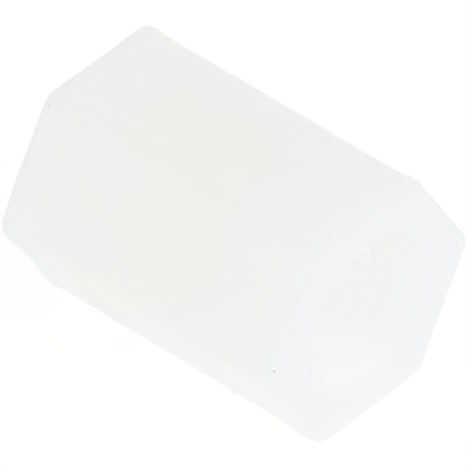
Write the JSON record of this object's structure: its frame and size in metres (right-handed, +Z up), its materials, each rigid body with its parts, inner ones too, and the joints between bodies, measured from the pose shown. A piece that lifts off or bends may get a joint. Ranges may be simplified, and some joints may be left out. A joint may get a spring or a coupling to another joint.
{
  "type": "hex standoff",
  "caption": "One-piece hexagonal nylon standoff with a threaded through bore and a countersunk mouth at each end.",
  "frame": {"origin": "on the surface that the standoff lies on, under the middle of its length", "axes": "+X along the bore, +Z up from the flat that it lies on to the opposite flat"},
  "size_m": [0.008, 0.0064, 0.0057],
  "materials": {
    "nylon": "natural milky translucent nylon, moulded, satin"
  },
  "bodies": {
    "root": {"standoff": "nylon"}
  },
  "joints": []
}
